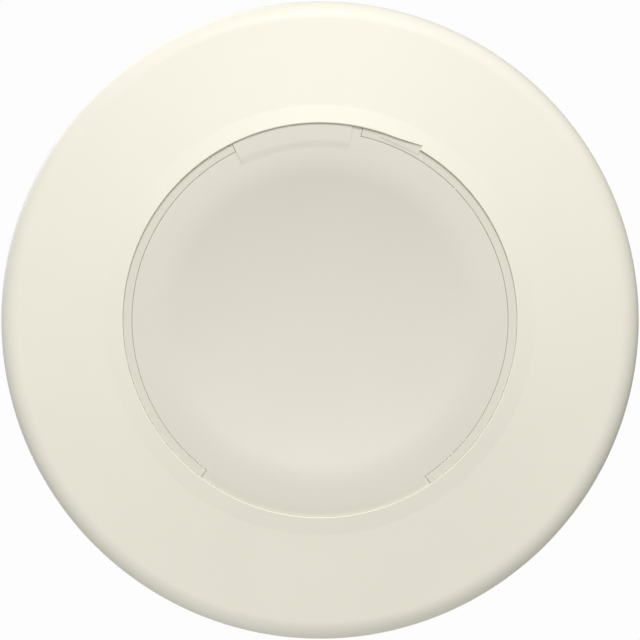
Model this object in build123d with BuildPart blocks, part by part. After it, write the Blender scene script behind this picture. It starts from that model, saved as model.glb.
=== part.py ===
from build123d import *
import os
from math import atan, cos, degrees, radians, sin, sqrt

# A concealed pendent fire sprinkler with its domed escutcheon and dished cover.
# Sizes are in millimetres and degrees. The ceiling plane is z = 0, +Z points up to the pipe,
# and the face of the sprinkler looks down, towards -Z. Angles run from +X towards +Y.

# ---- Sleeve: the opening, the cover and the cup are sized to it -------------------------
sleeve_radius = 25.5
sleeve_wall = 0.9
sleeve_recess = 0.1
sleeve_top_gap = 3.3
finger_count = 6
finger_slot_width = 1.6
finger_slot_length = 12.0
dimple_radius = 0.7
dimple_height = 0.55
dimple_below_top = 1.7
lug_width = 6.0
lug_length = 3.1
lug_sheet = 0.8

# ---- Escutcheon ------------------------------------------------------------------------
ring_radius = 42.0
ring_sheet = 1.0
ring_edge_height = 3.12
ring_edge_bend = 3.0
dome_depth = 6.05
lip_gap = 0.3
lip_width = 2.4
lip_height = 0.85
lip_bend = 0.45
lip_foot_bend = 1.5
collar_gap = 1.0
collar_neck_height = 1.4
collar_neck_bend = 0.2
tongue_start_angle = -61.0
tongue_end_angle = -75.5
tongue_reach = 0.3
tongue_sheet = 0.45
tongue_gap = 0.1

# ---- Cover -----------------------------------------------------------------------------
cover_gap = 0.45
cover_proud = 0.4
cover_dish_depth = 2.35
cover_inflection = 0.86
cover_edge_bend = 2.15
cover_sheet = 0.8
cover_skirt_height = 2.45
ear_root = 0.75
ear_step = 0.85
ear_gap = 0.35
ear_side_gap = 0.4
wide_ear_angle = 91.5
wide_ear_span = 71.0
narrow_ear_angle = -97.0
narrow_ear_span = 39.0

# ---- Cover tabs, solder and ejection springs -------------------------------------------
tab_angles = (30.0, 150.0, 270.0)
tab_width = 4.0
tab_sheet = 0.4
tab_foot_length = 2.2
tab_bend = 0.3
tab_skirt_gap = 0.15
solder_thickness = 0.3
solder_length = 1.2
braze_gap = 0.05
spring_angles = (90.0, 210.0, 330.0)
spring_width = 4.0
spring_sheet = 0.3
spring_above_rivet = 1.8
spring_below_rivet = 2.2
spring_tip_inset = 2.8
spring_tip_length = 1.6
spring_tip_gap = 0.25
spring_bend = 0.8
rivet_z = 3.2
rivet_shank = 0.8
rivet_head = 1.4
rivet_head_height = 0.35

# ---- Support cup -----------------------------------------------------------------------
cup_height = 27.6
cup_wall = 0.8
cup_finger_gap = 0.25
cup_corner_bend = 2.0
bead_first_z = 9.0
bead_pitch = 3.5
bead_depth = 0.5
bead_half_width = 0.9
vent_count = 4
vent_radius = 2.5

# ---- Sprinkler body --------------------------------------------------------------------
flange_height = 4.1
flange_edge = 0.5
flat_edge = 2.2
neck_radius = 10.9
neck_height = 7.0
neck_gap = 0.1
groove_depth = 1.0
groove_height = 1.2
cup_ring_width = 2.1
cup_ring_gap = 8.0
cup_ring_fit = 0.05
cup_ring_eye = 0.8
cup_ring_eye_boss = 2.1
runout_radius = 9.4
runout_height = 2.6
thread_pitch = 1.814
thread_turns = 7
thread_end_radius = 10.35
thread_depth = 1.15
thread_taper = 1.0 / 32.0
thread_crest = 0.35
waterway_radius = 7.0
waterway_bottom = 3.3
waterway_chamfer = 0.8
orifice_radius = 5.55
orifice_height = 3.5
nozzle_radius = 8.2
nozzle_height = 3.2

# ---- Valve, from the seat downwards ----------------------------------------------------
seat_gap = 0.02
seat_edge = 0.8
washer_bore_gap = 0.15
washer_thickness = 0.2
disc_spring_sheet = 0.4
disc_spring_rise = 0.7
disc_spring_edge = 0.6
disc_spring_bore_gap = 0.1
cap_flange_radius = 4.6
cap_flange_height = 1.0
cap_boss_radius = 2.7
cap_boss_height = 2.4
screw_radius = 1.6
screw_reach = 0.28
screw_below_saddle = 0.8
screw_slot_width = 0.5
screw_slot_depth = 0.7
saddle_height = 1.6
saddle_width = 6.8
saddle_end_gap = 1.0
saddle_corner = 0.8
saddle_gap = 0.2

# ---- Ears of the body, with the ledges for the levers ----------------------------------
arm_gap = 1.0
arm_thickness = 2.6
arm_width = 8.0
arm_chamfer = 0.5
ledge_reach = 1.3
ledge_height = 0.8

# ---- Levers ----------------------------------------------------------------------------
toe_radius = 0.6
toe_gap = 0.2
toe_from_ledge_edge = 0.4
lever_width = 6.0
lever_arm_height = 1.2
lever_arm_drop = 0.1
lever_tip_gap = 1.0
shank_offset = 2.5
shank_thickness = 1.2
shank_corner = 0.5
tang_side_step = 0.5
tang_above_link = 1.4
tang_below_link = 1.3
tang_head_height = 0.6

# ---- Fusible link ----------------------------------------------------------------------
link_drop = 7.5
link_sheet = 0.4
link_solder_thickness = 0.2
link_end_gap = 0.8
link_slot_gap = 0.8
link_slot_side_gap = 0.3
link_side_web = 1.7
link_end_web = 1.4
link_corner = 1.2

# ---- Deflector, its guide pins and their housings --------------------------------------
deflector_sheet = 1.0
deflector_gap = 1.7
deflector_slots = 12
deflector_slot_width = 1.6
deflector_slot_length = 6.0
deflector_hub_radius = 4.0
deflector_hub_height = 0.8
deflector_hub_chamfer = 0.3
pin_edge = 2.0
pin_radius = 1.1
pin_floor_gap = 0.1
pin_head_gap = 0.2
pin_head_height = 1.2
pin_head_below_socket = 0.9
pin_rivet_step = 0.6
pin_rivet_height = 0.4
housing_gap = 1.8
housing_radius = 3.0
housing_wall = 0.8
housing_drop = 11.2
housing_floor = 1.2
housing_socket_depth = 3.0


def radial_plane(angle):
    """The upright plane that holds the axis, with its x pointing outward at this angle."""
    a = radians(angle)
    return Plane(origin=(0, 0, 0), x_dir=(cos(a), sin(a), 0), z_dir=(sin(a), -cos(a), 0))


def finish(part, name):
    """Labels a finished piece and writes its STEP file."""
    part.label = name
    export_step(part, f"parts/{name}.step")


os.makedirs("parts", exist_ok=True)

# ---- Radii that follow from the ones above ---------------------------------------------
sleeve_inner = sleeve_radius - sleeve_wall
opening_radius = sleeve_radius + lip_gap
lip_radius = opening_radius + lip_width
cover_edge_radius = sleeve_inner - cover_gap
cover_crest_radius = cover_edge_radius - cover_edge_bend
ear_radius = opening_radius - ear_gap
cup_inner = sleeve_radius + dimple_height + cup_finger_gap + bead_depth
cup_radius = cup_inner + cup_wall
pin_circle = nozzle_radius + housing_gap + housing_radius
deflector_radius = pin_circle + pin_edge
flange_radius = pin_circle + housing_radius + flange_edge
vent_circle = (flange_radius + cup_radius - cup_corner_bend) / 2
arm_inner = nozzle_radius + arm_gap
arm_outer = arm_inner + arm_thickness
toe_x = arm_inner - ledge_reach + toe_from_ledge_edge
shank_centre = toe_x - shank_offset
shank_inner = shank_centre - shank_thickness / 2
shank_outer = shank_centre + shank_thickness / 2

# ---- Heights above the ceiling plane ---------------------------------------------------
# The ring, the sleeve and the cover hang below it
sleeve_bottom = -dome_depth + sleeve_recess
cover_crest_z = -dome_depth - cover_proud
cover_centre_z = cover_crest_z + cover_dish_depth
cover_skirt_top = cover_crest_z + cover_skirt_height
ear_face_z = cover_crest_z + ear_step
tab_top = cover_skirt_top + tab_skirt_gap + tab_sheet
lug_bottom = tab_top + solder_thickness
lug_top = lug_bottom + lug_sheet
deflector_bottom = cover_centre_z + cover_sheet + deflector_gap
# The body stands in the cup's top
cup_under = cup_height - cup_wall
sleeve_top = cup_under - sleeve_top_gap
flange_bottom = cup_under - flange_height
neck_top = cup_under + neck_height
thread_bottom = neck_top + runout_height
body_top = thread_bottom + thread_turns * thread_pitch
seat_z = flange_bottom - nozzle_height
housing_top = flange_bottom + housing_socket_depth
housing_bottom = flange_bottom - housing_drop
pin_head_top = housing_top - pin_head_below_socket
# The valve hangs from the seat, and the levers, ledges and link from the valve
washer_top = seat_z - seat_gap
washer_bottom = washer_top - washer_thickness
cap_flange_top = washer_bottom - disc_spring_sheet - disc_spring_rise
cap_flange_bottom = cap_flange_top - cap_flange_height
saddle_bottom = cap_flange_bottom - screw_reach - saddle_height
lever_arm_top = saddle_bottom - saddle_gap
lever_arm_bottom = lever_arm_top - lever_arm_height
toe_z = lever_arm_bottom + lever_arm_drop
ledge_top = toe_z - toe_radius - toe_gap
arm_bottom = ledge_top - ledge_height
link_pivot_z = toe_z - link_drop

# ---- The cover's section: two arcs of equal turn lead from its centre to its crest ------
cover_turn = 2 * atan(cover_dish_depth / cover_crest_radius)
cover_arc_sum = cover_crest_radius / sin(cover_turn)
cover_hollow_arc = cover_inflection * cover_arc_sum
cover_crest_arc = cover_arc_sum - cover_hollow_arc


def cover_back_z(radius):
    """The height of the cover's back near its crest, at this distance from the axis."""
    rise = cover_crest_arc - sqrt(cover_crest_arc**2 - (cover_crest_radius - radius) ** 2)
    return cover_crest_z + rise + cover_sheet


# ---- Escutcheon ------------------------------------------------------------------------
lip_z = -dome_depth - lip_height
edge_z = -ring_edge_height
collar_top = -collar_gap
neck_z = collar_top - collar_neck_height
tongue_root = opening_radius + ring_sheet / 2
tongue_inner = sleeve_inner + tongue_reach

with BuildPart() as escutcheon:
    with BuildSketch(Plane.XZ):
        with BuildLine():
            FilletPolyline(
                (sleeve_radius, collar_top),
                (sleeve_radius, neck_z),
                (opening_radius, neck_z - 2 * lip_gap),
                (opening_radius, lip_z),
                (lip_radius, -dome_depth),
                (ring_radius, edge_z),
                (ring_radius, 0),
                radius=[collar_neck_bend, collar_neck_bend, lip_bend, lip_foot_bend, ring_edge_bend],
            )
            offset(amount=ring_sheet, side=Side.LEFT)
        make_face()
    revolve(axis=Axis.Z)
    # The tongue beside the narrow ear: its inner edge slants inwards from the lip
    tongue_start = Vector(tongue_root, 0).rotate(Axis.Z, tongue_start_angle)
    tongue_deep = Vector(tongue_inner, 0).rotate(Axis.Z, tongue_end_angle)
    tongue_end = Vector(tongue_root, 0).rotate(Axis.Z, tongue_end_angle)
    with BuildSketch(Plane.XY.offset(sleeve_bottom - tongue_gap)):
        with BuildLine():
            Polyline(tongue_start, tongue_deep, tongue_end)
            RadiusArc(tongue_end, tongue_start, -tongue_root)
        make_face()
    extrude(amount=-tongue_sheet)
finish(escutcheon.part, "escutcheon")

# ---- Retainer sleeve -------------------------------------------------------------------
finger_angles = [i * 360 / finger_count for i in range(finger_count)]
dimple_angles = [a + 180 / finger_count for a in finger_angles]
rim_notch_height = ear_face_z + cover_sheet + ear_side_gap - sleeve_bottom
ear_margin = degrees(ear_side_gap / sleeve_radius)
ears = ((wide_ear_angle, wide_ear_span), (narrow_ear_angle, narrow_ear_span))

with BuildPart() as retainer_sleeve:
    with BuildSketch(Plane.XY.offset(sleeve_bottom)):
        Circle(sleeve_radius)
        Circle(sleeve_inner, mode=Mode.SUBTRACT)
    extrude(amount=sleeve_top - sleeve_bottom)
    # Slots between the spring fingers
    with BuildSketch(*[radial_plane(a + 90) for a in finger_angles[: finger_count // 2]]):
        with Locations((0, sleeve_top - finger_slot_length / 2)):
            Rectangle(finger_slot_width, finger_slot_length)
    extrude(amount=2 * sleeve_radius, both=True, mode=Mode.SUBTRACT)
    # Dimples pressed out of the fingers
    with PolarLocations(sleeve_radius + dimple_height - dimple_radius, finger_count, 180 / finger_count):
        with Locations((0, 0, sleeve_top - dimple_below_top)):
            Sphere(dimple_radius)
    # Lugs lanced out of the wall and bent inwards, with the windows that they leave
    with BuildSketch(*[radial_plane(a) for a in tab_angles]):
        with Locations((sleeve_radius, lug_top)):
            Rectangle(2 * sleeve_wall, lug_length, align=(Align.CENTER, Align.MIN))
    extrude(amount=lug_width / 2, both=True, mode=Mode.SUBTRACT)
    with BuildSketch(*[radial_plane(a) for a in tab_angles]):
        with Locations((sleeve_radius - sleeve_wall / 2, lug_top)):
            Rectangle(lug_length, lug_sheet, align=(Align.MAX, Align.MAX))
    extrude(amount=lug_width / 2, both=True)
    # Notches in the rim that the cover's two ears stand in
    for ear_angle, ear_span in ears:
        with BuildSketch(radial_plane(ear_angle - ear_span / 2 - ear_margin)):
            with Locations((sleeve_radius, sleeve_bottom)):
                Rectangle(4 * sleeve_wall, 2 * rim_notch_height)
        revolve(axis=Axis.Z, revolution_arc=ear_span + 2 * ear_margin, mode=Mode.SUBTRACT)
    # Holes for the springs' rivets: this plane's normal points outward at the spring's angle
    with BuildSketch(*[radial_plane(a + 90) for a in spring_angles]):
        with Locations((0, rivet_z)):
            Circle(rivet_shank)
    extrude(amount=2 * sleeve_radius, mode=Mode.SUBTRACT)
finish(retainer_sleeve.part, "retainer_sleeve")

# ---- Cover -----------------------------------------------------------------------------
turn = degrees(cover_turn)
ear_length = ear_radius - cover_edge_radius + ear_root
with BuildPart() as cover_dish:
    with BuildSketch(Plane.XZ):
        with BuildLine():
            hollow = JernArc((0, cover_centre_z), (1, 0), cover_hollow_arc, -turn)
            rise = JernArc(hollow @ 1, hollow % 1, cover_crest_arc, turn)
            rim = JernArc(rise @ 1, rise % 1, cover_edge_bend, 90)
            skirt = Line(rim @ 1, (cover_edge_radius, cover_skirt_top))
            back_skirt = Line(skirt @ 1, (cover_edge_radius - cover_sheet, cover_skirt_top))
            back_wall = Line(back_skirt @ 1, (cover_edge_radius - cover_sheet, (rim @ 1).Y))
            back_rim = JernArc(back_wall @ 1, (0, -1), cover_edge_bend - cover_sheet, -90)
            back_rise = JernArc(back_rim @ 1, (-1, 0), cover_crest_arc - cover_sheet, -turn)
            back_hollow = JernArc(back_rise @ 1, back_rise % 1, cover_hollow_arc + cover_sheet, turn)
            Line(back_hollow @ 1, hollow @ 0)
        make_face()
    revolve(axis=Axis.Z)
    for ear_angle, ear_span in ears:
        with BuildSketch(radial_plane(ear_angle - ear_span / 2)):
            with Locations((ear_radius, ear_face_z)):
                Rectangle(ear_length, cover_sheet, align=(Align.MAX, Align.MIN))
        revolve(axis=Axis.Z, revolution_arc=ear_span)
finish(cover_dish.part, "cover_dish")

# ---- Cover tabs and their solder -------------------------------------------------------
tab_web = cover_crest_radius + tab_bend
tab_foot_inner = tab_web - tab_foot_length
tab_foot_z = cover_back_z(tab_foot_inner) + braze_gap
tab_end = sleeve_inner - cover_gap

with BuildPart() as cover_tabs:
    with BuildSketch(*[radial_plane(a) for a in tab_angles]):
        with BuildLine():
            FilletPolyline(
                (tab_foot_inner, tab_foot_z),
                (tab_web, tab_foot_z),
                (tab_web, tab_top - tab_sheet),
                (tab_end, tab_top - tab_sheet),
                radius=tab_bend,
            )
            offset(amount=tab_sheet, side=Side.LEFT)
        make_face()
    extrude(amount=tab_width / 2, both=True)
finish(cover_tabs.part, "cover_tabs")

with BuildPart() as cover_solder:
    with BuildSketch(*[radial_plane(a) for a in tab_angles]):
        with Locations((tab_end, tab_top)):
            Rectangle(solder_length, solder_thickness, align=(Align.MAX, Align.MIN))
    extrude(amount=tab_width / 2, both=True)
finish(cover_solder.part, "cover_solder")

# ---- Ejection springs and their rivets -------------------------------------------------
spring_face = sqrt(sleeve_inner**2 - (spring_width / 2) ** 2) - braze_gap
spring_tip_inner = cover_crest_radius - spring_tip_inset
spring_tip_z = cover_back_z(spring_tip_inner) + spring_tip_gap

with BuildPart() as ejection_springs:
    with BuildSketch(*[radial_plane(a) for a in spring_angles]):
        with BuildLine():
            FilletPolyline(
                (spring_face, rivet_z + spring_above_rivet),
                (spring_face, rivet_z - spring_below_rivet),
                (spring_tip_inner + spring_tip_length, spring_tip_z),
                (spring_tip_inner, spring_tip_z),
                radius=spring_bend,
            )
            offset(amount=spring_sheet, side=Side.RIGHT)
        make_face()
    extrude(amount=spring_width / 2, both=True)
    with BuildSketch(*[radial_plane(a + 90) for a in spring_angles]):
        with Locations((0, rivet_z)):
            Circle(rivet_shank)
    extrude(amount=sleeve_radius, mode=Mode.SUBTRACT)
finish(ejection_springs.part, "ejection_springs")

inner_end = spring_face - spring_sheet - rivet_head_height
outer_end = sleeve_radius + rivet_head_height
with BuildPart() as spring_rivets:
    with BuildSketch(*[radial_plane(a) for a in spring_angles]):
        with BuildLine():
            Polyline(
                (inner_end, rivet_z),
                (inner_end, rivet_z + rivet_head),
                (inner_end + rivet_head_height, rivet_z + rivet_head),
                (inner_end + rivet_head_height, rivet_z + rivet_shank),
                (sleeve_radius, rivet_z + rivet_shank),
                (sleeve_radius, rivet_z + rivet_head),
                (outer_end, rivet_z + rivet_head),
                (outer_end, rivet_z),
                close=True,
            )
        make_face()
    for angle, half in zip(spring_angles, spring_rivets.pending_faces):
        outward = Vector(cos(radians(angle)), sin(radians(angle)))
        revolve(half, axis=Axis((0, 0, rivet_z), outward))
finish(spring_rivets.part, "spring_rivets")

# ---- Support cup -----------------------------------------------------------------------
bead_count = 1 + int((cup_height - cup_corner_bend - bead_first_z) / bead_pitch)
bead_heights = [bead_first_z + i * bead_pitch for i in range(bead_count)]

with BuildPart() as support_cup:
    with BuildSketch(Plane.XZ):
        with BuildLine():
            FilletPolyline(
                (neck_radius + neck_gap, cup_height),
                (cup_radius, cup_height),
                (cup_radius, 0),
                radius=cup_corner_bend,
            )
            offset(amount=cup_wall, side=Side.RIGHT)
        make_face()
    revolve(axis=Axis.Z)
    # Rolled beads: the wall steps inwards by the same depth on both of its faces
    for face_radius, mode in ((cup_inner, Mode.ADD), (cup_radius, Mode.SUBTRACT)):
        with BuildSketch(Plane.XZ):
            for z in bead_heights:
                with BuildLine():
                    Polyline(
                        (face_radius, z - bead_half_width),
                        (face_radius - bead_depth, z - bead_half_width / 2),
                        (face_radius - bead_depth, z + bead_half_width / 2),
                        (face_radius, z + bead_half_width),
                        close=True,
                    )
                make_face()
        revolve(axis=Axis.Z, mode=mode)
    with BuildSketch(Plane.XY.offset(cup_height)):
        with PolarLocations(vent_circle, vent_count, 180 / vent_count):
            Circle(vent_radius)
    extrude(amount=-cup_wall, mode=Mode.SUBTRACT)
finish(support_cup.part, "support_cup")

# An open circlip: its gap is on the -X side, between two bosses with eyes for pliers
groove_radius = neck_radius - groove_depth
cup_ring_radius = neck_radius + cup_ring_width
eye_y = cup_ring_gap / 2 + cup_ring_eye_boss
eye_x = -sqrt(cup_ring_radius**2 - eye_y**2)
with BuildPart() as cup_retaining_ring:
    with BuildSketch(Plane.XY.offset(cup_height)):
        Circle(cup_ring_radius)
        with Locations((eye_x, eye_y), (eye_x, -eye_y)):
            Circle(cup_ring_eye_boss)
        Circle(groove_radius + cup_ring_fit, mode=Mode.SUBTRACT)
        with Locations((-cup_ring_radius, 0)):
            Rectangle(cup_ring_radius, cup_ring_gap, mode=Mode.SUBTRACT)
        with Locations((eye_x, eye_y), (eye_x, -eye_y)):
            Circle(cup_ring_eye, mode=Mode.SUBTRACT)
    extrude(amount=groove_height - cup_ring_fit)
finish(cup_retaining_ring.part, "cup_retaining_ring")


# ---- Sprinkler body --------------------------------------------------------------------
def thread_radius(z):
    """The radius over the thread's crests, which grows downwards with the taper."""
    return thread_end_radius + (body_top - z) * thread_taper


ridge_points = []
for i in range(thread_turns):
    root_z = thread_bottom + i * thread_pitch
    crest_z = root_z + thread_pitch / 2
    ridge_points += [
        (thread_radius(root_z) - thread_depth, root_z),
        (thread_radius(crest_z), crest_z - thread_crest / 2),
        (thread_radius(crest_z), crest_z + thread_crest / 2),
    ]

with BuildPart() as sprinkler_body:
    with BuildSketch(Plane.XZ):
        with BuildLine():
            Polyline(
                (orifice_radius, seat_z),
                (nozzle_radius, seat_z),
                (nozzle_radius, flange_bottom),
                (flange_radius, flange_bottom),
                (flange_radius, cup_under),
                (neck_radius, cup_under),
                (neck_radius, cup_height),
                (groove_radius, cup_height),
                (groove_radius, cup_height + groove_height),
                (neck_radius, cup_height + groove_height),
                (neck_radius, neck_top),
                (runout_radius, neck_top),
                (runout_radius, thread_bottom),
                *ridge_points,
                (thread_end_radius - thread_depth, body_top),
                (waterway_radius + waterway_chamfer, body_top),
                (waterway_radius, body_top - waterway_chamfer),
                (waterway_radius, flange_bottom + waterway_bottom),
                (orifice_radius, seat_z + orifice_height),
                close=True,
            )
        make_face()
    revolve(axis=Axis.Z)
    # Two flats for the wrench, cut off the sides of the flange
    with BuildSketch(Plane.XY.offset(flange_bottom)):
        Circle(flange_radius + 1)
        Rectangle(2 * (arm_outer + flat_edge), 2 * flange_radius + 2, mode=Mode.SUBTRACT)
    extrude(amount=flange_height, mode=Mode.SUBTRACT)
    # The two ears, with a ledge on each for a lever's toe
    with BuildSketch(Plane.XZ):
        with BuildLine():
            Polyline(
                (arm_inner, flange_bottom),
                (arm_inner, ledge_top),
                (arm_inner - ledge_reach, ledge_top),
                (arm_inner - ledge_reach, arm_bottom),
                (arm_outer - arm_chamfer, arm_bottom),
                (arm_outer, arm_bottom + arm_chamfer),
                (arm_outer, flange_bottom),
                close=True,
            )
        make_face()
        mirror(about=Plane.YZ)
    extrude(amount=arm_width / 2, both=True)
    # Sockets for the guide pin housings
    with Locations((0, pin_circle, flange_bottom), (0, -pin_circle, flange_bottom)):
        Cylinder(
            housing_radius,
            housing_socket_depth,
            align=(Align.CENTER, Align.CENTER, Align.MIN),
            mode=Mode.SUBTRACT,
        )
finish(sprinkler_body.part, "sprinkler_body")

# ---- Guide pins and their housings -----------------------------------------------------
pin_hole = pin_radius + pin_floor_gap
housing_bore = housing_radius - housing_wall
pin_bottom = deflector_bottom - pin_rivet_height

for end, y in (("front", -pin_circle), ("rear", pin_circle)):
    with BuildPart() as housing:
        with BuildSketch(Plane((0, y, housing_bottom))):
            Circle(housing_radius)
            Circle(pin_hole, mode=Mode.SUBTRACT)
        extrude(amount=housing_top - housing_bottom)
        with BuildSketch(Plane((0, y, housing_bottom + housing_floor))):
            Circle(housing_bore)
        extrude(amount=housing_top, mode=Mode.SUBTRACT)
    finish(housing.part, f"guide_pin_housing_{end}")

    with BuildPart() as pin:
        with BuildSketch(Plane((0, y, pin_bottom))):
            Circle(pin_radius)
        extrude(amount=pin_head_top - pin_bottom)
        with BuildSketch(Plane((0, y, pin_bottom))):
            Circle(pin_radius + pin_rivet_step)
        extrude(amount=pin_rivet_height)
        with BuildSketch(Plane((0, y, pin_head_top))):
            Circle(housing_bore - pin_head_gap)
        extrude(amount=-pin_head_height)
    finish(pin.part, f"guide_pin_{end}")

# ---- Deflector -------------------------------------------------------------------------
with BuildPart() as deflector:
    with BuildSketch(Plane.XY.offset(deflector_bottom)):
        Circle(deflector_radius)
        with PolarLocations(deflector_radius, deflector_slots, 180 / deflector_slots):
            SlotOverall(2 * deflector_slot_length, deflector_slot_width, mode=Mode.SUBTRACT)
        with Locations((0, pin_circle), (0, -pin_circle)):
            Circle(pin_radius, mode=Mode.SUBTRACT)
    extrude(amount=deflector_sheet)
    with BuildSketch(Plane.XY.offset(deflector_bottom + deflector_sheet)):
        Circle(deflector_hub_radius)
    extrude(amount=deflector_hub_height)
    chamfer(deflector.edges().group_by(Axis.Z)[-1], length=deflector_hub_chamfer)
finish(deflector.part, "deflector")

# ---- Valve -----------------------------------------------------------------------------
washer_outer = nozzle_radius - seat_edge
disc_spring_inner = cap_boss_radius + disc_spring_bore_gap
disc_spring_outer = washer_outer - disc_spring_edge
screw_bottom = saddle_bottom - screw_below_saddle

with BuildPart() as seal_washer:
    with BuildSketch(Plane.XY.offset(washer_bottom)):
        Circle(washer_outer)
        Circle(orifice_radius + washer_bore_gap, mode=Mode.SUBTRACT)
    extrude(amount=washer_thickness)
finish(seal_washer.part, "seal_washer")

with BuildPart() as seal_disc_spring:
    with BuildSketch(Plane.XZ):
        with BuildLine():
            Polyline(
                (disc_spring_inner, cap_flange_top),
                (disc_spring_outer, washer_bottom - disc_spring_sheet),
                (disc_spring_outer, washer_bottom),
                (disc_spring_inner, cap_flange_top + disc_spring_sheet),
                close=True,
            )
        make_face()
    revolve(axis=Axis.Z)
finish(seal_disc_spring.part, "seal_disc_spring")

with BuildPart() as seal_cap:
    with BuildSketch(Plane.XY.offset(cap_flange_bottom)):
        Circle(cap_flange_radius)
    extrude(amount=cap_flange_height)
    with BuildSketch(Plane.XY.offset(cap_flange_top)):
        Circle(cap_boss_radius)
    extrude(amount=cap_boss_height)
    fillet(seal_cap.edges().group_by(Axis.Z)[-1], radius=cap_boss_radius / 2)
finish(seal_cap.part, "seal_cap")

with BuildPart() as saddle:
    with BuildSketch(Plane.XY.offset(saddle_bottom)):
        RectangleRounded(2 * (shank_inner - saddle_end_gap), saddle_width, saddle_corner)
        Circle(screw_radius, mode=Mode.SUBTRACT)
    extrude(amount=saddle_height)
finish(saddle.part, "saddle")

with BuildPart() as compression_screw:
    with BuildSketch(Plane.XY.offset(screw_bottom)):
        Circle(screw_radius)
    extrude(amount=cap_flange_bottom - screw_bottom)
    with BuildSketch(Plane.XY.offset(screw_bottom)):
        Rectangle(screw_slot_width, 2 * screw_radius)
    extrude(amount=screw_slot_depth, mode=Mode.SUBTRACT)
finish(compression_screw.part, "compression_screw")

# ---- Levers ----------------------------------------------------------------------------
lever_tip = screw_radius + lever_tip_gap
tang_width = lever_width - 2 * tang_side_step
tang_shoulder_z = link_pivot_z + tang_above_link
tang_head_z = link_pivot_z - tang_below_link
lever_bottom = tang_head_z - tang_head_height

for hand, side in (("right", 1), ("left", -1)):
    outline = [
        (lever_tip, lever_arm_bottom),
        (lever_tip, lever_arm_top),
        (toe_x - toe_radius, lever_arm_top),
        (toe_x, toe_z + toe_radius),
        (toe_x, lever_arm_bottom),
        (shank_outer, lever_arm_bottom),
        (shank_outer, lever_bottom),
        (shank_inner, lever_bottom),
        (shank_inner, lever_arm_bottom),
    ]
    with BuildPart() as lever:
        with BuildSketch(Plane.XZ):
            with BuildLine():
                Polyline(*[(side * x, z) for x, z in outline], close=True)
            make_face()
            with Locations((side * toe_x, toe_z)):
                Circle(toe_radius)
        extrude(amount=lever_width / 2, both=True)
        # The lower shank narrows to a tang, which ends in a head that holds the link's plate
        with BuildSketch(Plane.YZ):
            with Locations((lever_width / 2, tang_head_z), (-lever_width / 2, tang_head_z)):
                Rectangle(
                    2 * tang_side_step,
                    tang_shoulder_z - tang_head_z,
                    align=(Align.CENTER, Align.MIN),
                )
        extrude(amount=2 * shank_outer, both=True, mode=Mode.SUBTRACT)
        inside_corner = lever.edges().filter_by(Axis.Y).filter_by_position(
            Axis.X, *sorted((side * shank_inner - 0.01, side * shank_inner + 0.01))
        )
        fillet(inside_corner.sort_by(Axis.Z)[-1], radius=shank_corner)
    finish(lever.part, f"{hand}_lever")

# ---- Fusible link ----------------------------------------------------------------------
right_plate_z = link_pivot_z + link_solder_thickness / 2
left_plate_z = link_pivot_z - link_solder_thickness / 2 - link_sheet
link_slot_length = shank_thickness + 2 * link_slot_gap
link_slot_width = tang_width + 2 * link_slot_side_gap
link_width = link_slot_width + 2 * link_side_web
link_overlap = 2 * (shank_inner - link_end_gap)
plate_end = shank_centre + link_slot_length / 2 + link_end_web
plate_length = plate_end + link_overlap / 2
plate_middle = plate_end - plate_length / 2

for hand, side, plate_z in (("right", 1, right_plate_z), ("left", -1, left_plate_z)):
    with BuildPart() as plate:
        with BuildSketch(Plane.XY.offset(plate_z)):
            with Locations((side * plate_middle, 0)):
                RectangleRounded(plate_length, link_width, link_corner)
            with Locations((side * shank_centre, 0)):
                Rectangle(link_slot_length, link_slot_width, mode=Mode.SUBTRACT)
        extrude(amount=link_sheet)
    finish(plate.part, f"{hand}_link_plate")

with BuildPart() as link_solder:
    with BuildSketch(Plane.XY.offset(right_plate_z)):
        RectangleRounded(link_overlap, link_width, link_corner)
    extrude(amount=seat_gap - link_solder_thickness)
finish(link_solder.part, "link_solder")
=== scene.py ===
import math

import bmesh
import bpy
from bpy.props import FloatProperty, FloatVectorProperty, IntProperty, PointerProperty
from bpy.types import Operator, Panel, PropertyGroup
from mathutils import Matrix, Vector


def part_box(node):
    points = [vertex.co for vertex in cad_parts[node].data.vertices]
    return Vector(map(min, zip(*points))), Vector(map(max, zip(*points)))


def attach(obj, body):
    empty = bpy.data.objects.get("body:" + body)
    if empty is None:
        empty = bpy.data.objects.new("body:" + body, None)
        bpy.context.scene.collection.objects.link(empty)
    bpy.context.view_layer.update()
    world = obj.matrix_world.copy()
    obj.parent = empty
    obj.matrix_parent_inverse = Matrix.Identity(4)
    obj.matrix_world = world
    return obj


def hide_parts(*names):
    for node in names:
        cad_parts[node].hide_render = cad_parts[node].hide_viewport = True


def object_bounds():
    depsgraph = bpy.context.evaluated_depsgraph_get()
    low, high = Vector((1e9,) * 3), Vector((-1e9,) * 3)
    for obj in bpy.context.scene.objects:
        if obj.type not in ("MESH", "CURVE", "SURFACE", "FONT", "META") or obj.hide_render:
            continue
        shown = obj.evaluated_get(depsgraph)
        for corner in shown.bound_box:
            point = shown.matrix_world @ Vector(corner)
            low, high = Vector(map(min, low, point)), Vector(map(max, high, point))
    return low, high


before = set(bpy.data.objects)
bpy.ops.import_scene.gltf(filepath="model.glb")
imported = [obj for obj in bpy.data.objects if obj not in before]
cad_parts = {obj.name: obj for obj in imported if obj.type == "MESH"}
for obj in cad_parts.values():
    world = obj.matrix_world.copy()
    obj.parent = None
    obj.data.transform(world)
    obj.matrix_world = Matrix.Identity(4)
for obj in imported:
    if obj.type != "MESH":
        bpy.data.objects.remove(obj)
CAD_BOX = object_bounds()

bl_info = {
    "name": "Concealed Sprinkler Head",
    "version": (1, 0, 0),
    "blender": (4, 5, 0),
    "location": "View3D > Sidebar > Sprinkler",
    "description": "Builds a concealed pendent sprinkler head around its CAD frame",
    "category": "Add Mesh",
}

EYE_INSET = 0.01  # eyes flush with the circlip join differently from run to run
DONE = {"FINISHED"}
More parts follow.
